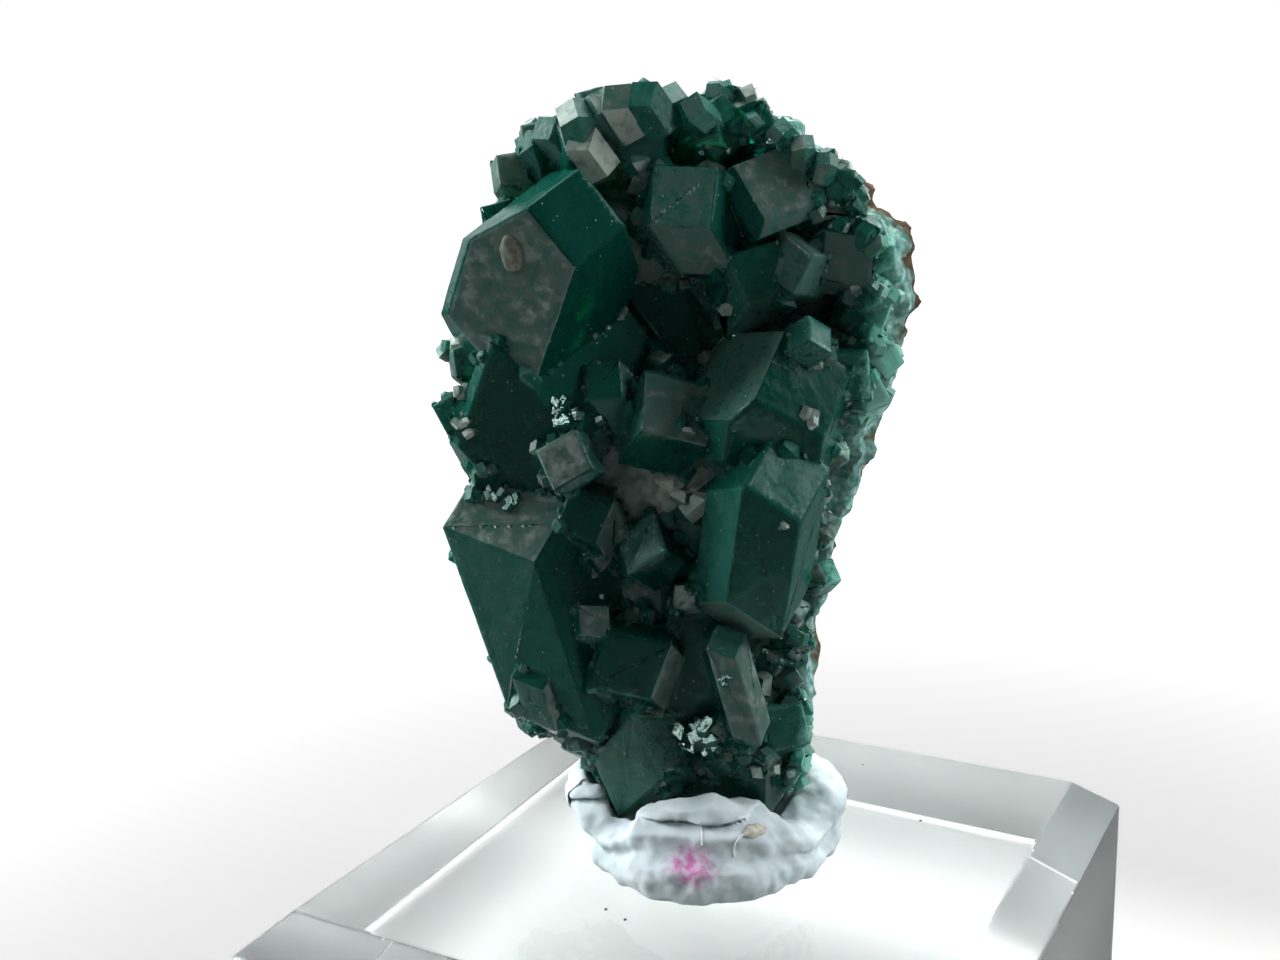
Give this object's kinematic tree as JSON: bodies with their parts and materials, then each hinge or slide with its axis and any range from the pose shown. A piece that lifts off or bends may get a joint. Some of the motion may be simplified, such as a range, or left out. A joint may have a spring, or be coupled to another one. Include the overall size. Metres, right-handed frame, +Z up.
{
  "type": "dioptase specimen",
  "caption": "Cluster of dark green dioptase crystals on a brown rock matrix, stood upright in mounting putty on a clear square display block.",
  "frame": {"origin": "middle of the display block's underside", "axes": "+Z up, X and Y along the sides of the block; the crystal face looks toward -Y, turned 29.3 degrees toward +X"},
  "size_m": [0.038, 0.038, 0.0575],
  "materials": {
    "dioptase_green": "vitreous crystal faces, part frosted",
    "matrix_brown": "rough",
    "putty_grey": "soft matt",
    "clear_block": "polished clear"
  },
  "bodies": {
    "root": {"dioptase_crystals": "dioptase_green", "matrix_rock": "matrix_brown", "mounting_putty": "putty_grey", "display_block": "clear_block"}
  },
  "joints": []
}
